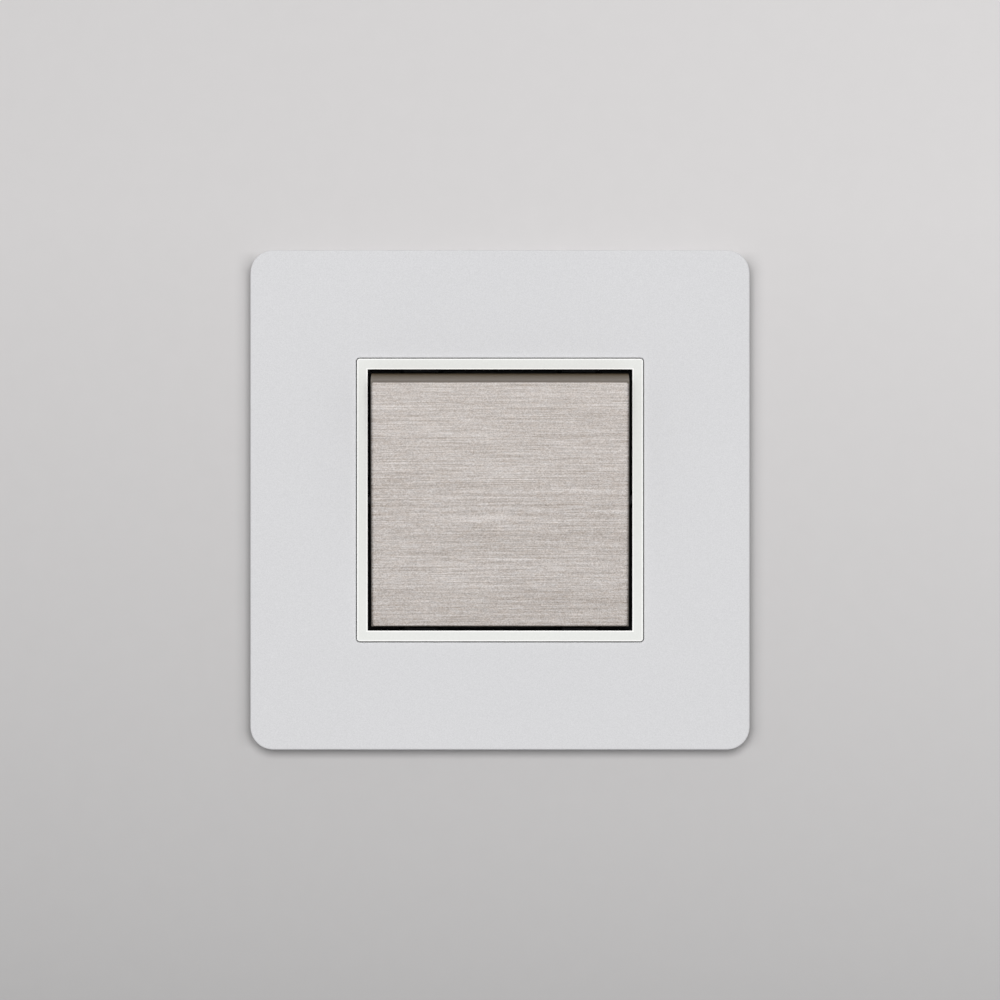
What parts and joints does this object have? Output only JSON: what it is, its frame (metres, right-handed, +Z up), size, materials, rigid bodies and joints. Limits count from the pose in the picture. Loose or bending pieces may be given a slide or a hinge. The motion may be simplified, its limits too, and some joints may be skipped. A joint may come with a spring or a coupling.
{
  "type": "rocker light switch",
  "caption": "Square wall plate with a white trim frame and a brushed metal rocker that tips a two-way contact, with a yoke, box screws and rear wire terminals.",
  "frame": {"origin": "midway between the two box screws, on the wall's surface", "axes": "+X to the right, +Z up the wall, +Y into the wall; the rocker faces -Y"},
  "size_m": [0.088, 0.0374, 0.088],
  "materials": {
    "front_plate": "fine-textured pale grey primer",
    "trim": "satin off-white moulding",
    "rocker_metal": "horizontally brushed warm nickel",
    "rocker_key": "satin taupe moulding",
    "black_moulding": "matt black moulding",
    "rocker_nylon": "matt black nylon",
    "base_moulding": "pale grey moulding",
    "liner_moulding": "natural grey moulding",
    "yoke_steel": "zinc plated steel sheet",
    "acetal": "smooth natural acetal",
    "spring_steel": "drawn spring wire",
    "brass": "machined brass",
    "copper": "rolled copper strip",
    "silver": "silver alloy tip",
    "screw_steel": "bright zinc plated steel",
    "pin_steel": "blackened steel"
  },
  "bodies": {
    "base": {"front_plate": "front_plate", "plate_liner": "liner_moulding", "trim_frame": "trim", "module_housing": "black_moulding", "terminal_base": "base_moulding", "mounting_yoke": "yoke_steel", "fixed_tip_l1": "silver", "fixed_tip_l2": "silver", "strip_l1": "brass", "strip_l2": "brass", "strip_common": "brass", "earth_terminal": "brass", "earth_screw": "screw_steel", "pivot_pin_left": "pin_steel", "pivot_pin_right": "pin_steel", "box_screw_left": "screw_steel", "box_screw_right": "screw_steel", "terminal_block_common": "brass", "terminal_screw_common": "screw_steel", "terminal_block_l1": "brass", "terminal_screw_l1": "screw_steel", "terminal_block_l2": "brass", "terminal_screw_l2": "screw_steel", "case_screw_1": "screw_steel", "case_screw_2": "screw_steel", "case_screw_3": "screw_steel", "case_screw_4": "screw_steel"},
    "rocker": {"rocker_face": "rocker_metal", "rocker_key": "rocker_key", "rocker_carrier": "rocker_nylon", "plunger_spring": "spring_steel"},
    "plunger": {"plunger": "acetal"},
    "contact": {"moving_contact": "copper", "moving_tip_l1": "silver", "moving_tip_l2": "silver"}
  },
  "joints": [
    {"name": "rocker_swing", "type": "hinge", "parent": "base", "child": "rocker", "pos_m": [0, -0.00257, 0], "axis": [-1, 0, 0], "range_deg": [0, 15]},
    {"name": "contact_tilt", "type": "hinge", "parent": "base", "child": "contact", "pos_m": [0, 0.01178, 0], "axis": [1, 0, 0], "range_deg": [0, 15]},
    {"name": "plunger_slide", "type": "slide", "parent": "rocker", "child": "plunger", "axis": [0, -0.9914, -0.1305], "range_m": [0, 0.0008], "stiffness_N_per_m": 400, "springref_m": -0.0015, "deforming": ["plunger_spring"]}
  ],
  "couplings": [
    {"joint": "contact_tilt", "follows": "rocker_swing", "ratio": 1}
  ]
}
